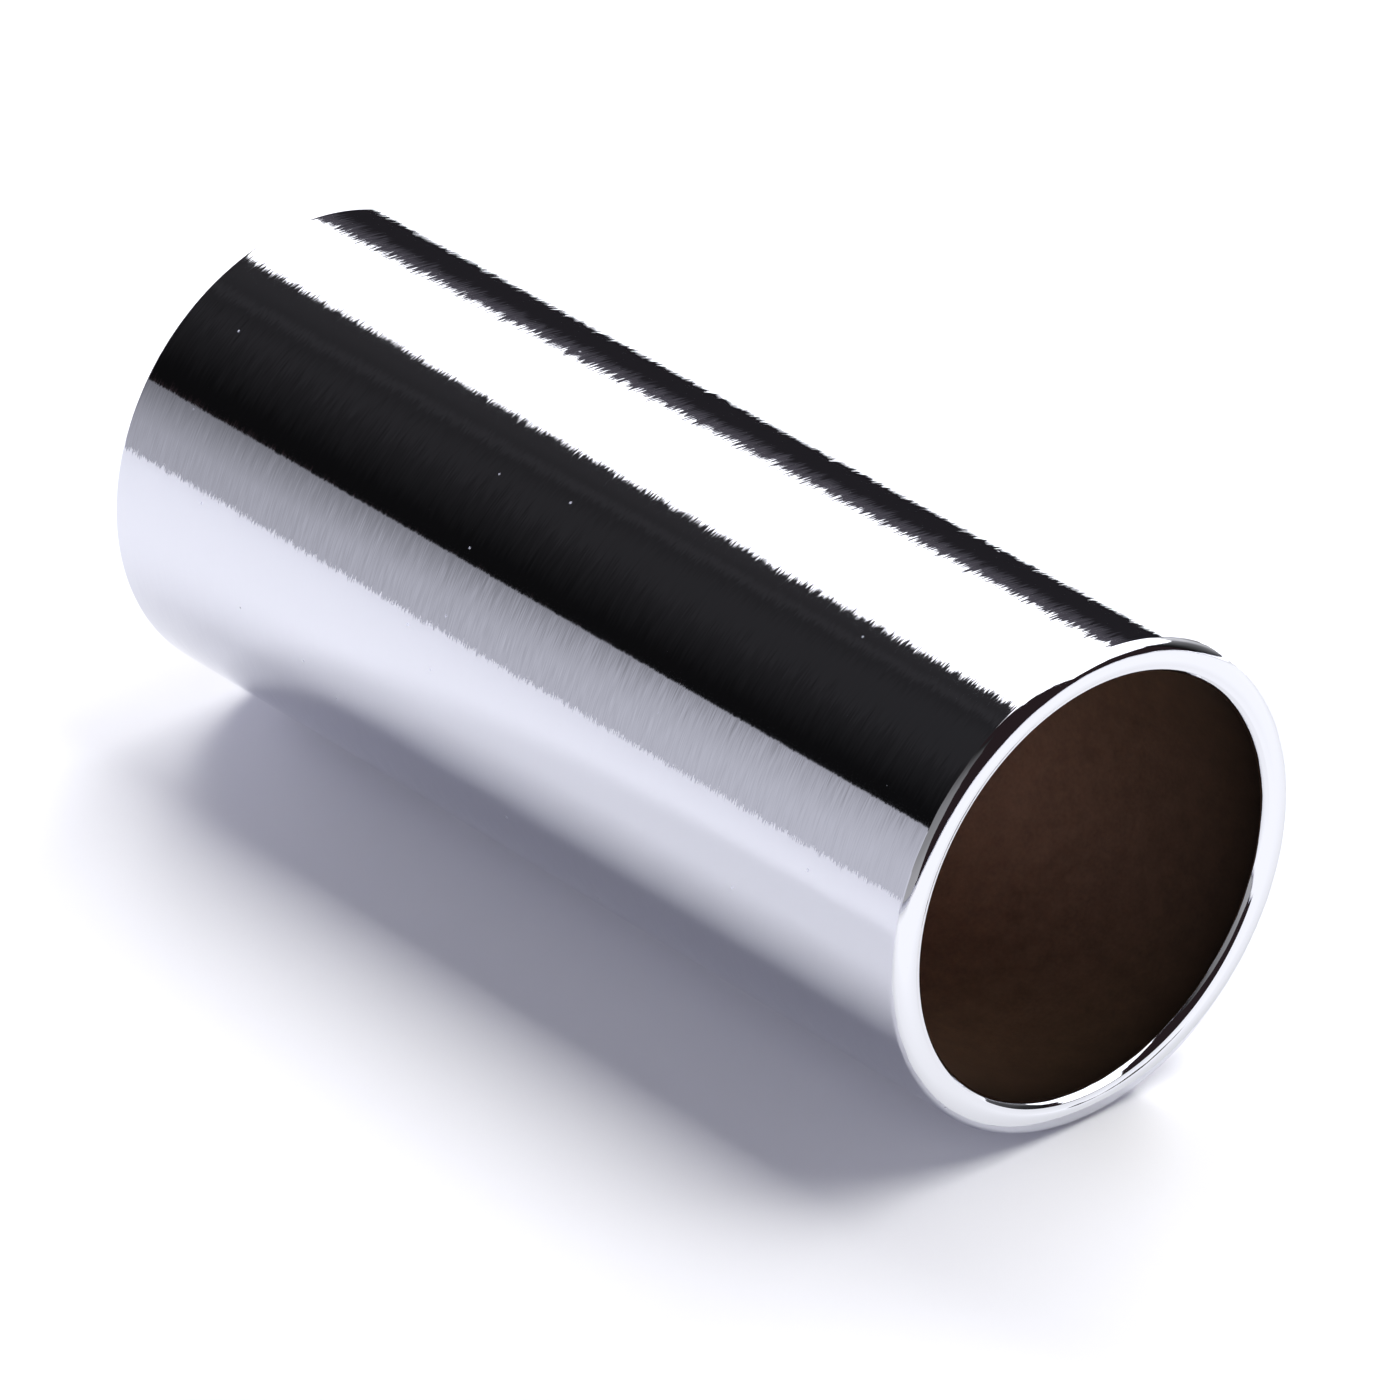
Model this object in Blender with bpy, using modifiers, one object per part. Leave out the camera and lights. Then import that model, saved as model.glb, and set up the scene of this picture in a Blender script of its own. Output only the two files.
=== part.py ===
"""Chromed steel guitar slide: one straight tube with a rounded mouth, lying on its side.

The tube's axis runs along X at the height of its own radius, and the mouth faces +X.
The origin is on the surface that the slide lies on, under the middle of its length.
"""
import math

import bpy

# Driving dimensions, in metres
LENGTH = 0.0593           # from the plain end to the foremost ring of the mouth
OUTER_DIAMETER = 0.0254
WALL = 0.0017
ROUND_DEPTH = 0.00060     # how far the mouth's rounding runs back along the outside
LIP_WIDTH = 0.00080       # from the bore out to the foremost ring, measured along a radius
LIP_DEPTH = 0.00022       # how far the slope between them runs into the bore
EDGE_BREAK = 0.00015      # chamfer on the plain end's two edges

# How finely the turned shape is cut up
STEPS_AROUND = 96
STEPS_ON_ROUND = 8
MERGE_DISTANCE = 0.00001

OBJECT_NAME = "guitar_slide"


def clear_scene():
    for old in list(bpy.data.objects):
        bpy.data.objects.remove(old, do_unlink=True)


def new_collection(name):
    collection = bpy.data.collections.new(name)
    bpy.context.scene.collection.children.link(collection)
    return collection


def new_material(name, colour, roughness, metallic):
    material = bpy.data.materials.new(name)
    material.use_nodes = True
    shader = material.node_tree.nodes["Principled BSDF"]
    shader.inputs["Base Color"].default_value = (*colour, 1.0)
    shader.inputs["Roughness"].default_value = roughness
    shader.inputs["Metallic"].default_value = metallic
    return material


def rounding(foremost_radius, outer_radius, top, depth, steps):
    """A quarter of an ellipse, from the mouth's foremost ring out to the tube's side."""
    width = outer_radius - foremost_radius
    points = []
    for step in range(steps + 1):
        turn = 0.5 * math.pi * step / steps
        radius = foremost_radius + width * math.sin(turn)
        height = top - depth + depth * math.cos(turn)
        points.append((radius, height))
    return points


def tube_profile():
    """The wall's section as radius and height, mouth up: down the outside, up the bore."""
    outer_radius = OUTER_DIAMETER / 2
    bore_radius = outer_radius - WALL
    top = LENGTH / 2
    bottom = -LENGTH / 2
    points = rounding(bore_radius + LIP_WIDTH, outer_radius, top, ROUND_DEPTH, STEPS_ON_ROUND)
    points += [
        (outer_radius, bottom + EDGE_BREAK),
        (outer_radius - EDGE_BREAK, bottom),
        (bore_radius + EDGE_BREAK, bottom),
        (bore_radius, bottom + EDGE_BREAK),
        (bore_radius, top - LIP_DEPTH),
    ]
    return points


def turned(name, profile, collection):
    """A closed profile at +X, swept once round Z with a Screw modifier."""
    corners = [(radius, 0.0, height) for radius, height in profile]
    count = len(corners)
    edges = [(index, (index + 1) % count) for index in range(count)]
    mesh = bpy.data.meshes.new(name)
    mesh.from_pydata(corners, edges, [])
    piece = bpy.data.objects.new(name, mesh)
    collection.objects.link(piece)

    screw = piece.modifiers.new("turn", "SCREW")
    screw.axis = "Z"
    screw.angle = 2 * math.pi
    screw.steps = STEPS_AROUND
    screw.render_steps = STEPS_AROUND
    screw.use_merge_vertices = True
    screw.merge_threshold = MERGE_DISTANCE
    screw.use_smooth_shade = True
    return piece


def make_slide_tube(collection):
    """The slide's only piece, laid down so that its mouth faces +X."""
    tube = turned("slide_tube", tube_profile(), collection)
    tube.rotation_euler = (0.0, math.pi / 2, 0.0)
    tube.location = (0.0, 0.0, OUTER_DIAMETER / 2)
    tube.data.materials.append(
        new_material("chromed_steel", colour=(0.80, 0.81, 0.84), roughness=0.08, metallic=1.0)
    )
    return tube


clear_scene()
make_slide_tube(new_collection(OBJECT_NAME))
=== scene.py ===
"""Looks for a chromed steel guitar slide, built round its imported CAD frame.

The tube lies on its side along X with its rounded mouth at +X. One piece stands for the CAD tube:
a turned shell with its rounding, lip steps and edge breaks, in chrome outside and bare brown steel
inside. The rest is the stage: a pale floor, lights, a camera, and the softbox, cards and walls
that the chrome mirrors.
"""
import math

import bpy
from mathutils import Matrix, Vector


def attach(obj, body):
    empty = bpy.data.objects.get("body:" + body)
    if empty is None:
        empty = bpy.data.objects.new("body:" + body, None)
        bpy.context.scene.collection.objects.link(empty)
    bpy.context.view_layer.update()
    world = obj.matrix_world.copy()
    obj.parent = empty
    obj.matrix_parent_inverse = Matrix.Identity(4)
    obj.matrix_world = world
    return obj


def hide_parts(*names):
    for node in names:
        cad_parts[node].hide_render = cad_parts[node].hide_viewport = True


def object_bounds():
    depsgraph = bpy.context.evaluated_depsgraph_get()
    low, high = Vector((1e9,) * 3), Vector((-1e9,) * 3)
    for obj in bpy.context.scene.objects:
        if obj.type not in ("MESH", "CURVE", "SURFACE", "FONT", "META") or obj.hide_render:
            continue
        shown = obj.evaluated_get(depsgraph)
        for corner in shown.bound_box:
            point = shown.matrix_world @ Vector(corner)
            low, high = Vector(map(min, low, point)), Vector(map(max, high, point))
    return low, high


bl_info = {
    "name": "Guitar Slide",
    "version": (1, 0, 0),
    "blender": (4, 5, 0),
    "location": "3D View > Sidebar > Slide",
    "description": "Builds a chromed guitar slide and the small studio it is shown in",
    "category": "Add Mesh",
}

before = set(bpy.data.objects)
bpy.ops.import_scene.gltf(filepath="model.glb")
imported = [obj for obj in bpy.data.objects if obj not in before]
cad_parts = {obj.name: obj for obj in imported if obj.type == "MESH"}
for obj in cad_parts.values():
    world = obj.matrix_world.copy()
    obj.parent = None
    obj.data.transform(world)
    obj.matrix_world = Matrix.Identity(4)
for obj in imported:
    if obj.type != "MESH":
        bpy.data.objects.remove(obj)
CAD_LOW, CAD_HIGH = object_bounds()

MM = 0.001
NODE = "slide_tube"
BODY = "root"

CARD_GAIN = 0.89    # common brightness of everything the chrome mirrors but the floor
SOFTBOX_HEIGHT = 0.6
WHITE = (1.0, 1.0, 1.0)

# The lip from the foremost ring in to the bore, after the crown: slopes in degrees from facing
# straight out of the mouth, with their widths in mm. The last one runs on to the bore.
LIP_SLOPES = ((-24, 0.20), (-4, 0.03), (-28, 0.04), (-52, 0.09), (-30, 0.02))
LAST_LIP_SLOPE = -62

# Whether a section point is on the plating or in the bore. Faces past BORE_STARTS get the bore's
# finish.
ON_BORE = 1.0
AT_EDGE = 0.4
ON_PLATING = 0.0
BORE_STARTS = 0.65


# Node helpers -------------------------------------------------------------------------------------

class Value:
    """One output of a node, on which Python's arithmetic adds Math nodes."""

    def __init__(self, finish, socket):
        self.finish = finish
        self.socket = socket

    def math(self, operation, *others):
        sockets = {index + 1: other for index, other in enumerate(others)}
        sockets[0] = self
        return self.finish.node("ShaderNodeMath", {"operation": operation}, sockets)

    def __add__(self, other):
        return self.math("ADD", other)

    __radd__ = __add__

    def __mul__(self, other):
        return self.math("MULTIPLY", other)

    __rmul__ = __mul__

    def __sub__(self, other):
        return self.math("SUBTRACT", other)

    def __rsub__(self, other):
        return (self * -1.0) + other


class Finish:
    """A material or other node tree under construction."""

    def __init__(self, tree):
        self.tree = tree
        tree.nodes.clear()

    def node(self, kind, settings=None, sockets=None, output=0):
        made = self.tree.nodes.new(kind)
        for name, value in (settings or {}).items():
            if name == "stops":
                self.set_stops(made.color_ramp, value)
            else:
                setattr(made, name, value)
        for key, value in (sockets or {}).items():
            self.feed(made.inputs[key], value)
        return Value(self, made.outputs[output]) if len(made.outputs) else made

    def parts(self, vector):
        """The x, y and z of a vector, as three values."""
        split = self.node("ShaderNodeSeparateXYZ", None, {"Vector": vector})
        return [Value(self, socket) for socket in split.socket.node.outputs]

    def feed(self, socket, value):
        if isinstance(value, Value):
            self.tree.links.new(value.socket, socket)
        else:
            socket.default_value = value

    @staticmethod
    def set_stops(ramp, stops):
        while len(ramp.elements) > 1:
            ramp.elements.remove(ramp.elements[-1])
        ramp.elements[0].position = stops[0][0]
        ramp.elements[0].color = stops[0][1]
        for position, colour in stops[1:]:
            ramp.elements.new(position).color = colour

    def blend(self, factor, first, second):
        """A colour between two colours."""
        mix = self.tree.nodes.new("ShaderNodeMix")
        mix.data_type = "RGBA"
        self.feed(mix.inputs[0], factor)
        self.feed(mix.inputs[6], first)
        self.feed(mix.inputs[7], second)
        return Value(self, mix.outputs[2])

    def vector(self, operation, *vectors):
        """A Vector Math node."""
        return self.node("ShaderNodeVectorMath", {"operation": operation}, dict(enumerate(vectors)))


def new_material(name):
    material = bpy.data.materials.new(name)
    material.use_nodes = True
    return material, Finish(material.node_tree)


def colour4(colour):
    return (colour[0], colour[1], colour[2], 1.0)


# Finishes -----------------------------------------------------------------------------------------

def object_place(finish):
    """Object coordinates. For the world's finish, they give the direction looked in."""
    return finish.node("ShaderNodeTexCoord", output=3)


def stretched(finish, *scale):
    """Object coordinates scaled along each axis."""
    return finish.node("ShaderNodeMapping", {"vector_type": "POINT"},
                       {"Vector": object_place(finish), "Scale": scale})


def noise(finish, place, detail, roughness=0.5):
    """Noise as fine as its place is stretched."""
    sockets = {"Vector": place, "Scale": 1.0, "Detail": detail, "Roughness": roughness}
    return finish.node("ShaderNodeTexNoise", None, sockets)


def chrome_finish(look):
    """Bright plating over a lathe-polished tube: hair-fine polishing lines run round the body, and
    a few specks of dust lie on it."""
    material, finish = new_material("chrome_plate")
    lines = noise(finish, stretched(finish, 7000.0, 220.0, 220.0), detail=1.5)
    hairs = noise(finish, stretched(finish, 18000.0, 700.0, 700.0), detail=1.0)
    broad = noise(finish, stretched(finish, 900.0, 60.0, 60.0), detail=1.0)
    broad_tilt = 0.004
    tilt = (lines - 0.5) * look.line_tilt + (hairs - 0.5) * look.hair_tilt
    tilt = tilt + (broad - 0.5) * broad_tilt
    along = finish.node("ShaderNodeCombineXYZ", None, {"X": tilt, "Z": tilt * 0.03})
    normal = finish.node("ShaderNodeNewGeometry", output=1)
    bent = finish.vector("NORMALIZE", finish.vector("ADD", normal, along))
    cells = finish.node("ShaderNodeTexVoronoi", {"feature": "F1"},
                        {"Vector": stretched(finish, 450.0, 450.0, 450.0), "Scale": 1.0})
    dust = finish.node("ShaderNodeMapRange", None,
                       {"Value": cells, "From Min": 0.045, "From Max": 0.025, "To Max": 0.6})
    shader = finish.node("ShaderNodeBsdfPrincipled", None, {
        "Base Color": colour4(look.chrome_colour),
        "Metallic": 1.0 - dust,
        "Roughness": look.chrome_roughness,
        "Normal": bent,
    })
    finish.node("ShaderNodeOutputMaterial", None, {"Surface": shader})
    return material


def bore_finish(look):
    """Bare steel inside, gone brown and softly mottled, with painted shade that darkens it towards
    both ends.
    """
    material, finish = new_material("bare_bore")
    mottle = noise(finish, stretched(finish, 900.0, 900.0, 900.0), detail=4.0, roughness=0.6)
    grain = noise(finish, stretched(finish, 5200.0, 5200.0, 5200.0), detail=2.0)
    x = finish.parts(object_place(finish))[0]
    # Painted shade: the bore's colour darkens towards both open ends, standing in for how the light
    # falls inside the tube.
    painted_end_shade = finish.node("ShaderNodeMapRange", None, {
        "Value": x.math("ABSOLUTE"),
        "From Min": 0.029, "From Max": 0.0145, "To Min": 0.05, "To Max": 1.0})
    tone = (mottle * 0.6 + grain * 0.4 - 0.5) * 0.8 + 0.7
    colour = finish.blend(tone * painted_end_shade, (0.0, 0.0, 0.0, 1.0), colour4(look.bore_colour))
    bump = finish.node("ShaderNodeBump", None,
                       {"Height": grain, "Strength": 0.25, "Distance": 0.00002})
    shader = finish.node("ShaderNodeBsdfPrincipled", None, {
        "Base Color": colour,
        "Metallic": 0.6,
        "Roughness": 0.42,
        "Normal": bump,
    })
    finish.node("ShaderNodeOutputMaterial", None, {"Surface": shader})
    return material


# The tube's section -------------------------------------------------------------------------------

def arc(points, radius, first, last, steps):
    """Adds an arc to a rim section, out from its last point.

    Angles say how far the face has turned, from facing straight out of the mouth (0) to facing
    sideways (90).
    """
    start_inward, start_depth = points[-1]
    a = math.radians(first)
    for step in range(1, steps + 1):
        b = math.radians(first + (last - first) * step / steps)
        inward = start_inward + radius * (math.cos(a) - math.cos(b))
        depth = start_depth - radius * (math.sin(b) - math.sin(a))
        points.append((inward, depth))


def mouth_section(tube):
    """The rim from its foremost ring out to the body, as (distance back, depth under the body)."""
    points = [(0.0, 0.0)]
    arc(points, tube.crown_radius, 0.0, 12.0, 8)
    arc(points, tube.shoulder_radius, 12.0, 72.0, 30)
    arc(points, tube.corner_radius, 72.0, 90.0, 4)
    ring_depth = -points[-1][1]
    return [(inward, depth + ring_depth) for inward, depth in points]


def add_slope(points, slope, width):
    """Adds a straight stretch to a rim section, width being how much deeper it gets."""
    inward, depth = points[-1]
    points.append((inward + width * math.tan(math.radians(-slope)), depth + width))


def lip_section(tube, ring_depth):
    """The rim from its foremost ring in to the bore, with two fine turned lines on the way."""
    points = [(0.0, 0.0)]
    arc(points, tube.crown_radius, 0.0, -20.0, 10)
    points = [(inward, depth + ring_depth) for inward, depth in points]
    for slope, width in LIP_SLOPES:
        add_slope(points, slope, width * MM)
    add_slope(points, LAST_LIP_SLOPE, tube.wall - points[-1][1])
    return points


def edge_section(tube):
    """One rounded edge of the plain end, as (distance in from the end, depth under the surface)."""
    steps = 6
    radius = tube.end_break
    points = []
    for step in range(steps + 1):
        turn = 0.5 * math.pi * step / steps
        points.append((radius * (1 - math.sin(turn)), radius * (1 - math.cos(turn))))
    return points


def tube_section(tube):
    """The whole closed section as (end, inward, depth, in_bore) points.

    It goes up the body from the plain end, over the rim and back down the bore. end runs from -1
    at the plain end to 1 at the mouth.
    """
    mouth = mouth_section(tube)
    lip = lip_section(tube, mouth[0][1])
    edge = edge_section(tube)
    margins = (0.05 * MM, 0.2 * MM, 0.8 * MM)
    points = []
    for inward, depth in reversed(edge):
        points.append((-1.0, inward, depth, ON_PLATING))
    points += [(-1.0, edge[0][0] + margin, 0.0, ON_PLATING) for margin in margins]
    points += [(end, 0.0, 0.0, ON_PLATING) for end in (-0.6, -0.2, 0.2, 0.6)]
    back = mouth[-1][0]
    points += [(1.0, back + margin, 0.0, ON_PLATING) for margin in reversed(margins)]
    points += [(1.0, inward, depth, ON_PLATING) for inward, depth in reversed(mouth)]
    points += [(1.0, inward, depth, ON_PLATING) for inward, depth in lip[1:-1]]
    back, wall = lip[-1]
    points.append((1.0, back, wall, AT_EDGE))
    points += [(1.0, back + margin, wall, ON_BORE) for margin in (0.02 * MM,) + margins]
    points += [(end, 0.0, wall, ON_BORE) for end in (0.6, 0.2, -0.2, -0.6)]
    points += [(-1.0, edge[0][0] + margin, wall, ON_BORE) for margin in reversed(margins)]
    for inward, depth in edge:
        points.append((-1.0, inward, wall - depth, AT_EDGE))
    return points


def section_mesh(points):
    """The section as a bare row of points, which the node tree reads by index."""
    mesh = bpy.data.meshes.new("slide_section")
    mesh.from_pydata([(end, inward, depth) for end, inward, depth, bore in points], [], [])
    shares = mesh.attributes.new("in_bore", "FLOAT", "POINT")
    for index, (end, inward, depth, bore) in enumerate(points):
        shares.data[index].value = bore
    return mesh


# The turning tree ---------------------------------------------------------------------------------

def turning_tree():
    """Geometry Nodes that sweep a row of section points once round the tube's axis."""
    tree = bpy.data.node_groups.new("turn_tube", "GeometryNodeTree")
    finish = Finish(tree)
    face = tree.interface
    face.new_socket("Geometry", in_out="OUTPUT", socket_type="NodeSocketGeometry")
    face.new_socket("Section", in_out="INPUT", socket_type="NodeSocketGeometry")
    for name, kind in (("Length", "Float"), ("Outer Diameter", "Float"), ("Axis Height", "Float"),
                       ("Steps Around", "Int"), ("Outside", "Material"), ("Inside", "Material")):
        face.new_socket(name, in_out="INPUT", socket_type="NodeSocket" + kind)
    given = tree.nodes.new("NodeGroupInput")
    section, length, diameter, axis_height, steps, outside, inside = [
        Value(finish, socket) for socket in given.outputs[:7]]

    count = finish.node("GeometryNodeAttributeDomainSize", {"component": "MESH"},
                        {"Geometry": section})
    row = count + 1.0
    grid = finish.node("GeometryNodeMeshGrid", None,
                       {"Size X": 1.0, "Size Y": 1.0, "Vertices X": steps + 1.0, "Vertices Y": row})
    index = finish.node("GeometryNodeInputIndex")
    around = (index + 0.5).math("DIVIDE", row).math("FLOOR")
    along = (index - around * row).math("ROUND").math("MODULO", count)
    position = finish.node("GeometryNodeInputPosition")
    point = finish.node("GeometryNodeSampleIndex", {"data_type": "FLOAT_VECTOR", "domain": "POINT"},
                        {"Geometry": section, "Value": position, "Index": along})
    end, inward, depth = finish.parts(point)
    at_mouth = end.math("GREATER_THAN", 0.99)
    at_end = end.math("LESS_THAN", -0.99)
    x = end * (length * 0.5) - inward * at_mouth + inward * at_end
    radius = diameter * 0.5 - depth
    angle = around.math("DIVIDE", steps) * (2.0 * math.pi)
    place = finish.node("ShaderNodeCombineXYZ", None, {
        "X": x,
        "Y": radius * angle.math("SINE") * -1.0,
        "Z": radius * angle.math("COSINE") + axis_height,
    })
    shell = finish.node("GeometryNodeSetPosition", None, {"Geometry": grid, "Position": place})
    named = finish.node("GeometryNodeInputNamedAttribute", {"data_type": "FLOAT"},
                        {"Name": "in_bore"})
    share = finish.node("GeometryNodeSampleIndex", {"data_type": "FLOAT", "domain": "POINT"},
                        {"Geometry": section, "Value": named, "Index": along})
    shell = finish.node("GeometryNodeStoreNamedAttribute",
                        {"data_type": "FLOAT", "domain": "POINT"},
                        {"Geometry": shell, "Name": "in_bore", "Value": share})
    shell = finish.node("GeometryNodeMergeByDistance", None,
                        {"Geometry": shell, "Distance": 0.0000005})
    shell = finish.node("GeometryNodeFlipFaces", None, {"Mesh": shell})
    shell = finish.node("GeometryNodeSetShadeSmooth", None, {"Geometry": shell})
    shell = finish.node("GeometryNodeRealizeInstances", None, {"Geometry": shell})
    shell = finish.node("GeometryNodeSetMaterial", None, {"Geometry": shell, "Material": outside})
    in_bore = finish.node("GeometryNodeInputNamedAttribute", {"data_type": "FLOAT"},
                          {"Name": "in_bore"})
    shell = finish.node("GeometryNodeSetMaterial", None, {
        "Geometry": shell,
        "Selection": in_bore.math("GREATER_THAN", BORE_STARTS),
        "Material": inside,
    })
    finish.node("NodeGroupOutput", None, {"Geometry": shell})
    return tree


def set_inputs(modifier, values):
    """Sets a node modifier's named inputs through their sockets' identifiers."""
    for item in modifier.node_group.interface.items_tree:
        if item.item_type == "SOCKET" and item.in_out == "INPUT" and item.name in values:
            modifier[item.identifier] = values[item.name]


def plain_mesh(source, name):
    """The evaluated shape as an ordinary mesh."""
    bpy.context.view_layer.update()
    graph = bpy.context.evaluated_depsgraph_get()
    mesh = bpy.data.meshes.new_from_object(source.evaluated_get(graph))
    mesh.name = name
    return mesh


# Sizes and colours --------------------------------------------------------------------------------

def size(label, about, default):
    return bpy.props.FloatProperty(name=label, description=about, default=default, min=0.0,
                                   subtype="DISTANCE", unit="LENGTH", precision=5)


def tint(label, about, default):
    return bpy.props.FloatVectorProperty(name=label, description=about, default=default, size=3,
                                         min=0.0, soft_max=1.0, subtype="COLOR")


class SlideTubeSettings(bpy.types.PropertyGroup):
    """Sizes and finish of the slide."""

    length: size("Length", "From the plain end to the foremost ring of the mouth",
                 CAD_HIGH.x - CAD_LOW.x)
    outer_diameter: size("Outer Diameter", "Across the outside of the tube",
                         CAD_HIGH.z - CAD_LOW.z)
    wall: size("Wall", "Thickness of the tube's wall", 1.70 * MM)
    crown_radius: size("Crown Radius", "Radius of the rim's gently rounded front", 1.09 * MM)
    shoulder_radius: size("Shoulder Radius", "Radius from the rim's front to its side", 0.80 * MM)
    corner_radius: size("Corner Radius", "Radius of the fine edge behind the rim", 0.06 * MM)
    end_break: size("End Break", "Radius of the plain end's two edges", 0.15 * MM)
    steps_around: bpy.props.IntProperty(
        name="Steps Around", description="Faces round the tube", default=512, min=32, max=1024)
    chrome_colour: tint("Chrome", "Tint of the plating", (0.610, 0.618, 0.672))
    chrome_roughness: bpy.props.FloatProperty(
        name="Roughness", description="Roughness of the plating", default=0.045, min=0.0, max=1.0)
    line_tilt: bpy.props.FloatProperty(
        name="Polishing Lines", description="How far the polishing lines tilt the surface",
        default=0.035, min=0.0, max=0.5)
    hair_tilt: bpy.props.FloatProperty(
        name="Hair Lines", description="How far the finest lines tilt the surface",
        default=0.19, min=0.0, max=0.5)
    bore_colour: tint("Bore", "Brown of the bare steel deep inside", (0.40, 0.235, 0.145))


class StudioSettings(bpy.types.PropertyGroup):
    """Light and floor of the small studio."""

    floor_colour: tint("Floor", "Colour of the floor", (0.80, 0.80, 0.80))
    light_share: bpy.props.FloatProperty(
        name="Light", description="Strength of all the soft lights together", default=1.16,
        min=0.0)
    fill: tint("Fill", "Light that comes from all round", (0.09, 0.09, 0.10))
    low_glow: tint("Low Glow", "Light that comes from low down all round", (2.95, 2.95, 3.8))
    softbox_glow: bpy.props.FloatProperty(
        name="Softbox Glow", description="How bright the softbox looks in the chrome", default=3.0,
        min=0.0)


# Stage helpers ------------------------------------------------------------------------------------

def card_finish(name, colour):
    """Plain glow, as bright at each point as the card's own level attribute."""
    material, finish = new_material(name)
    level = finish.node("ShaderNodeAttribute", {"attribute_name": "level"}, output=2)
    glow = finish.node("ShaderNodeEmission", None, {"Color": colour4(colour), "Strength": level})
    finish.node("ShaderNodeOutputMaterial", None, {"Surface": glow})
    return material


def add_card(name, rows, levels, colour):
    """A sheet through rows of points, each with its own brightness, that only mirrors show."""
    width = len(rows[0])
    points = [point for row in rows for point in row]
    faces = []
    for upper in range(len(rows) - 1):
        for left in range(width - 1):
            corner = upper * width + left
            faces.append((corner, corner + 1, corner + width + 1, corner + width))
    mesh = bpy.data.meshes.new(name)
    mesh.from_pydata([tuple(point) for point in points], [], faces)
    glow = mesh.attributes.new("level", "FLOAT", "POINT")
    for index, level in enumerate(value for row in levels for value in row):
        glow.data[index].value = level * CARD_GAIN
    mesh.materials.append(card_finish(name, colour))
    card = bpy.data.objects.new(name, mesh)
    bpy.context.scene.collection.objects.link(card)
    card.visible_camera = False
    card.visible_diffuse = False
    card.visible_transmission = False
    card.visible_volume_scatter = False
    card.visible_shadow = False
    return card


def between(first, second, share):
    return first + (second - first) * share


def lookup(stops, value):
    """A number between listed (position, number) stops."""
    for (low, before), (high, after) in zip(stops, stops[1:]):
        if value <= high:
            share = max(0.0, (value - low) / (high - low))
            return between(before, after, share)
    return stops[-1][1]


def add_sky_card(name, distance, azimuths, heights, level, colour, steps=(24, 24)):
    """A patch of a sphere round the tube. level gives its brightness from azimuth and elevation."""
    centre = Vector((0.0, 0.0, CAD_HIGH.z / 2))
    rows = []
    levels = []
    for i in range(steps[1] + 1):
        elevation = between(heights[0], heights[1], i / steps[1])
        e = math.radians(elevation)
        row = []
        values = []
        for j in range(steps[0] + 1):
            azimuth = between(azimuths[0], azimuths[1], j / steps[0])
            a = math.radians(azimuth)
            row.append(centre + distance * Vector((math.cos(a) * math.cos(e),
                                                   math.sin(a) * math.cos(e), math.sin(e))))
            values.append(level(azimuth, elevation))
        rows.append(row)
        levels.append(values)
    return add_card(name, rows, levels, colour)


def add_floor(studio):
    """A pale, dull floor far larger than the view."""
    reach = 4.0
    mesh = bpy.data.meshes.new("floor")
    mesh.from_pydata([(-reach, -reach, 0.0), (reach, -reach, 0.0), (reach, reach, 0.0),
                      (-reach, reach, 0.0)], [], [(0, 1, 2, 3)])
    material, finish = new_material("pale_floor")
    shader = finish.node("ShaderNodeBsdfDiffuse", None, {"Color": colour4(studio.floor_colour)})
    finish.node("ShaderNodeOutputMaterial", None, {"Surface": shader})
    mesh.materials.append(material)
    floor = bpy.data.objects.new("floor", mesh)
    bpy.context.scene.collection.objects.link(floor)


def add_softbox(studio):
    """The big overhead softbox as the chrome sees it: a tilted four-sided sheet of light."""
    corners = [(-1.43, 0.585), (-0.12, -0.15), (1.30, 0.73), (0.10, 1.56)]
    left, near, right, far = [Vector((x, y, SOFTBOX_HEIGHT)) for x, y in corners]
    glow = studio.softbox_glow
    add_card("softbox", [[left, near], [far, right]], [[glow, glow], [glow, glow]], WHITE)


def add_low_card():
    """The grey card low in front of the tube, which dims towards the plain end and upwards."""
    y = -0.20
    heights = (0.0, 0.05, 0.123)
    columns = [(-0.50, 0.12, 0.12, 0.10), (-0.30, 0.47, 0.42, 0.20), (-0.20, 0.67, 0.62, 0.36),
               (-0.13, 0.86, 0.85, 0.68), (0.0, 1.0, 1.0, 0.87), (0.03, 1.0, 1.0, 0.87)]
    rows = [[Vector((column[0], y, height)) for column in columns] for height in heights]
    levels = [[column[1 + part] for column in columns] for part in range(len(heights))]
    add_card("low_card", rows, levels, (1.0, 1.0, 1.08))


def add_mouth_card():
    """A white sheet on the floor before the mouth, which keeps the rim's face bright."""
    height = 0.0004
    across = (-0.20, -0.10, 0.0, 0.20, 0.40)
    rows = []
    levels = []
    for x, level in ((0.0305, 1.25), (0.036, 1.5), (0.05, 1.7), (0.20, 1.7), (0.40, 1.2)):
        rows.append([Vector((x, y, height)) for y in across])
        levels.append([1.1, level, level, level, 1.1])
    add_card("mouth_card", rows, levels, WHITE)


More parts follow.
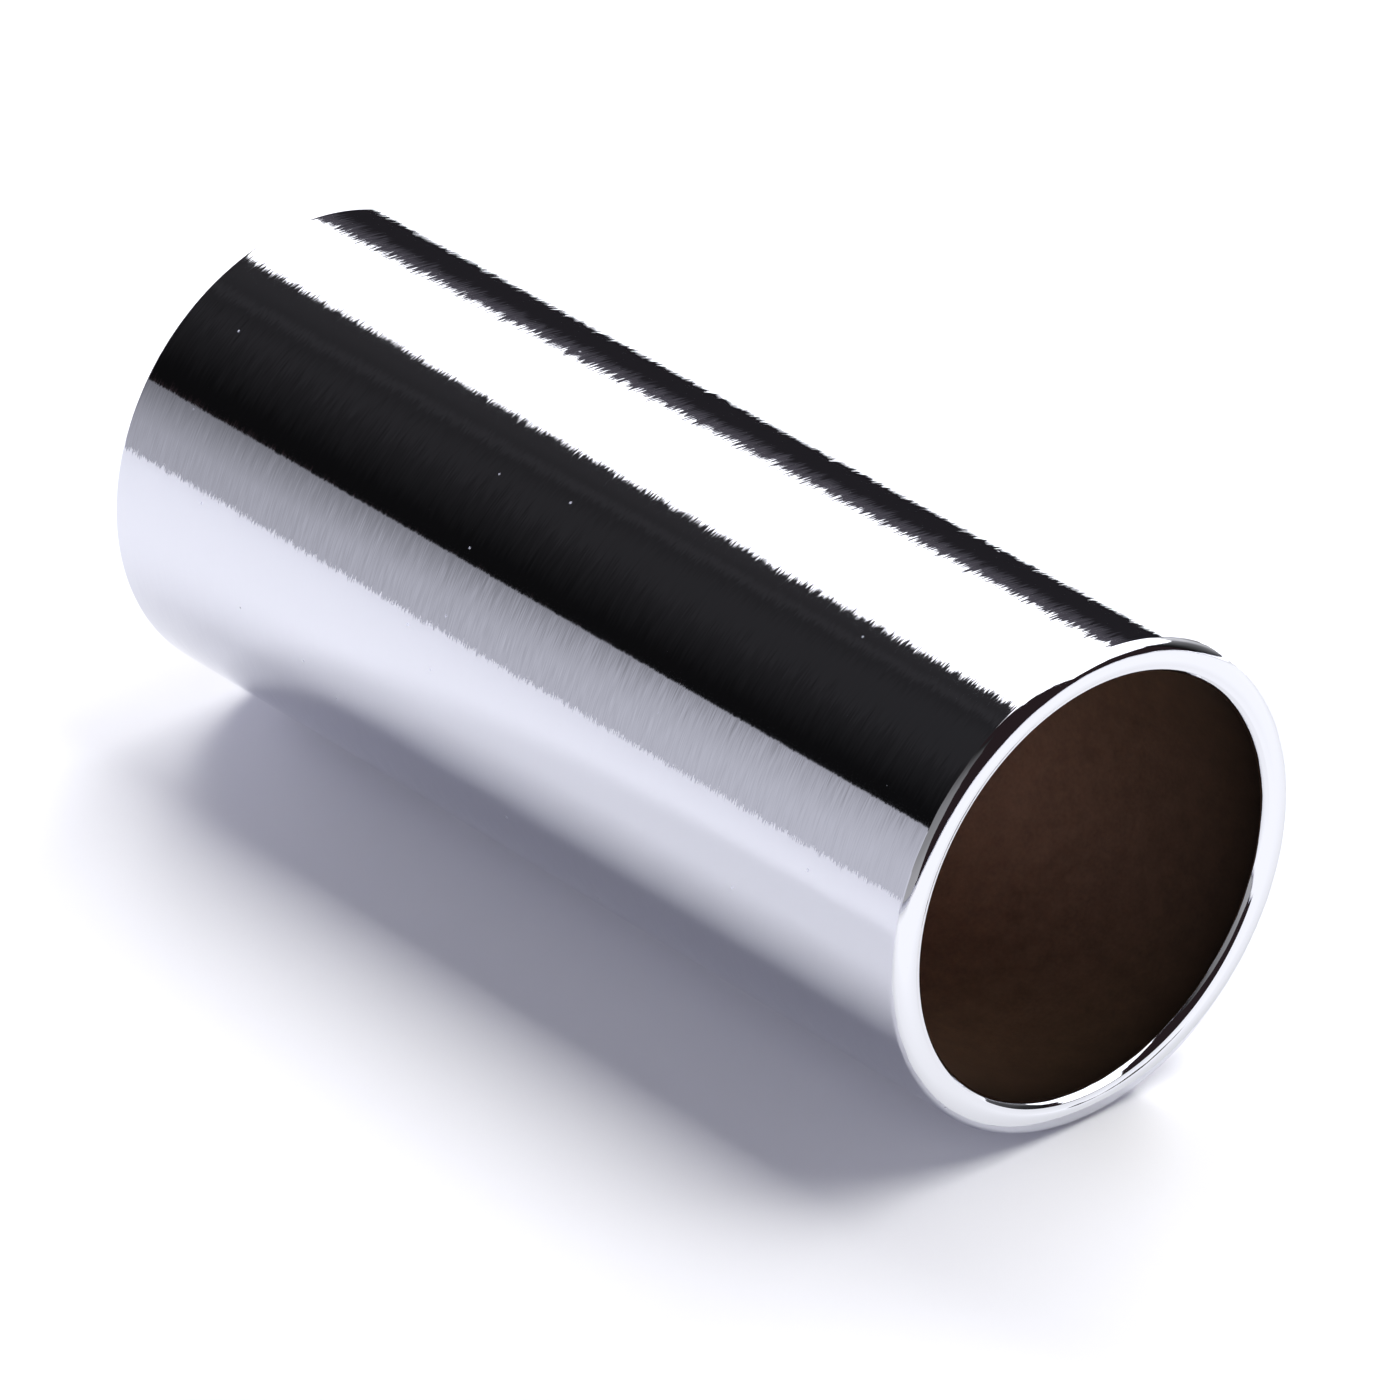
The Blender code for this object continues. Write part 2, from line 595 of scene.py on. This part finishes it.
def add_surrounds():
    """The patches of wall and ceiling round the tube that give the chrome its bands."""
    side_rise = ((0, 0.64), (10, 0.57), (20, 0.43), (40, 0.33), (52, 0.18), (64, 0.03), (90, 0.0))
    add_sky_card("side_card", 0.9, (-92, -40), (0, 66),
                 lambda azimuth, elevation: lookup(side_rise, elevation), (1.0, 0.99, 0.98))

    far_rise = ((0, 0.022), (16.3, 0.024), (16.6, 0.052), (18.5, 0.082), (21.4, 0.125), (30, 0.155))
    add_sky_card("far_wall", 1.8, (112, 180), (0, 30),
                 lambda azimuth, elevation: lookup(far_rise, elevation), (1.0, 0.93, 1.08),
                 steps=(12, 100))

    haze_turn = ((60, 0.0), (67, 0.05), (80, 0.20), (90, 0.38), (101, 1.12), (112, 0.62))
    haze_rise = ((0, 0.7), (8, 0.8), (21, 1.1), (30, 1.2))
    add_sky_card("far_haze", 1.8, (60, 112), (0, 30),
                 lambda azimuth, elevation: (lookup(haze_turn, azimuth)
                                             * lookup(haze_rise, elevation)),
                 WHITE)

    ceiling_turn = ((-215, 1.2), (-190, 1.2), (-181, 1.1), (-176, 0.95), (-173, 1.25), (-171, 1.25),
                    (-168.5, 0.78), (-160, 1.0), (-110, 1.0))
    ceiling_rise = ((20, 0.006), (27, 0.007), (32, 0.014), (39, 0.025), (41, 0.034), (60, 0.038))
    add_sky_card("charcoal_ceiling", 1.8, (-215, -110), (20, 75),
                 lambda azimuth, elevation: (lookup(ceiling_turn, azimuth)
                                             * lookup(ceiling_rise, elevation)),
                 (1.0, 0.97, 1.02), steps=(105, 24))

    add_sky_card("dark_room", 2.5, (-180, 180), (0, 90), lambda azimuth, elevation: 1.0,
                 (0.034, 0.022, 0.024), steps=(24, 8))


def add_lamp(name, x_span, y_span, glow):
    """A soft light over a level rectangle at the softbox's height, unseen in the chrome."""
    light = bpy.data.lights.new(name, "AREA")
    light.shape = "RECTANGLE"
    light.size = x_span[1] - x_span[0]
    light.size_y = y_span[1] - y_span[0]
    light.energy = glow * math.pi * light.size * light.size_y
    lamp = bpy.data.objects.new(name, light)
    lamp.location = (sum(x_span) / 2, sum(y_span) / 2, SOFTBOX_HEIGHT)
    lamp.visible_glossy = False
    lamp.visible_camera = False
    bpy.context.scene.collection.objects.link(lamp)


def add_surround(studio):
    """A surround that is dim overhead and brighter low down, most of all past the plain end."""
    world = bpy.data.worlds.new("studio_surround")
    world.use_nodes = True
    finish = Finish(world.node_tree)
    x, _, z = finish.parts(object_place(finish))
    low = finish.node("ShaderNodeMapRange", None, {"Value": z, "From Min": 0.29, "From Max": 0.23})
    plain_side = finish.node("ShaderNodeMapRange", None,
                             {"Value": x, "From Min": -0.82, "From Max": -0.92})
    mouth_side = finish.node("ShaderNodeMapRange", None,
                             {"Value": x, "From Min": 0.82, "From Max": 0.92})
    share = low * (plain_side * 3.4 + mouth_side * -0.6 + 1.0)
    glow = finish.node("ShaderNodeBackground", None, {"Color": colour4(studio.fill)})
    low_glow = finish.node("ShaderNodeBackground", None,
                           {"Color": colour4(studio.low_glow), "Strength": share})
    glow = finish.node("ShaderNodeAddShader", None, {0: glow, 1: low_glow})
    pale = finish.node("ShaderNodeBackground", None, {"Color": colour4(WHITE)})
    seen = finish.node("ShaderNodeLightPath", output=0)
    mixed = finish.node("ShaderNodeMixShader", None, {0: seen, 1: glow, 2: pale})
    finish.node("ShaderNodeOutputWorld", None, {"Surface": mixed})
    world.cycles_visibility.glossy = False
    bpy.context.scene.world = world


def add_lights(studio):
    """Soft lights overhead and behind, and the surround."""
    share = studio.light_share
    for name, x_span, y_span, glow in (("mouth_light", (0.0, 0.45), (0.05, 0.50), 5.75),
                                       ("plain_end_light", (-0.80, -0.45), (0.05, 0.50), 12.0),
                                       ("back_light", (-0.80, 0.0), (1.0, 1.4), 32.0)):
        add_lamp(name, x_span, y_span, glow * share)
    add_surround(studio)


def add_camera():
    """A long lens from the mouth's side, a little above the tube."""
    camera = bpy.data.cameras.new("camera")
    camera.lens = 233.4
    camera.sensor_width = 36.0
    camera.clip_start = 0.01
    camera.clip_end = 50.0
    eye = bpy.data.objects.new("camera", camera)
    place = (0.29447, -0.25337, 0.23299)
    right = Vector((0.65335, 0.75705, 0.0))
    up = Vector((-0.37657, 0.32499, 0.86751))
    back = right.cross(up)
    turn = Matrix((right, up, back)).transposed().to_4x4()
    eye.matrix_world = Matrix.Translation(place) @ turn
    bpy.context.scene.collection.objects.link(eye)
    bpy.context.scene.camera = eye
    bpy.context.scene.view_settings.view_transform = "Standard"


# Operators ----------------------------------------------------------------------------------------

class SLIDE_OT_make_tube(bpy.types.Operator):
    """Build the slide: one turned tube with a rounded mouth"""
    bl_idname = "slide.make_tube"
    bl_label = "Make Slide Tube"

    def execute(self, context):
        tube = context.scene.slide_tube
        section = bpy.data.objects.new("slide_section", section_mesh(tube_section(tube)))
        context.scene.collection.objects.link(section)
        turning = section.modifiers.new("turn", "NODES")
        turning.node_group = turning_tree()
        set_inputs(turning, {
            "Length": tube.length,
            "Outer Diameter": tube.outer_diameter,
            "Axis Height": CAD_LOW.z + tube.outer_diameter / 2,
            "Steps Around": tube.steps_around,
            "Outside": chrome_finish(tube),
            "Inside": bore_finish(tube),
        })
        mesh = plain_mesh(section, "polished_tube")
        section.modifiers.remove(turning)
        bpy.data.objects.remove(section)
        if len(mesh.polygons) == 0:
            raise RuntimeError("the turning tree gave no faces")
        piece = bpy.data.objects.new("polished_tube", mesh)
        context.scene.collection.objects.link(piece)
        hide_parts(NODE)
        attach(piece, BODY)
        return {"FINISHED"}


class SLIDE_OT_make_stage(bpy.types.Operator):
    """Set up the floor, the softbox and cards, the lights and the camera"""
    bl_idname = "slide.make_stage"
    bl_label = "Make Stage"

    def execute(self, context):
        studio = context.scene.slide_studio
        add_floor(studio)
        add_softbox(studio)
        add_low_card()
        add_mouth_card()
        add_surrounds()
        add_lights(studio)
        add_camera()
        return {"FINISHED"}


class SLIDE_PT_panel(bpy.types.Panel):
    """Lists the slide's sizes and the two things to make"""
    bl_idname = "SLIDE_PT_panel"
    bl_label = "Guitar Slide"
    bl_space_type = "VIEW_3D"
    bl_region_type = "UI"
    bl_category = "Slide"

    def draw(self, context):
        layout = self.layout
        for group in (context.scene.slide_tube, context.scene.slide_studio):
            column = layout.column()
            for name in group.__annotations__:
                column.prop(group, name)
        layout.operator(SLIDE_OT_make_tube.bl_idname)
        layout.operator(SLIDE_OT_make_stage.bl_idname)


CLASSES = (SlideTubeSettings, StudioSettings, SLIDE_OT_make_tube, SLIDE_OT_make_stage,
           SLIDE_PT_panel)


def register():
    for item in CLASSES:
        bpy.utils.register_class(item)
    bpy.types.Scene.slide_tube = bpy.props.PointerProperty(type=SlideTubeSettings)
    bpy.types.Scene.slide_studio = bpy.props.PointerProperty(type=StudioSettings)


def unregister():
    del bpy.types.Scene.slide_studio
    del bpy.types.Scene.slide_tube
    for item in reversed(CLASSES):
        bpy.utils.unregister_class(item)


def main():
    register()
    bpy.ops.slide.make_tube()
    bpy.ops.slide.make_stage()


if __name__ == "__main__":
    main()
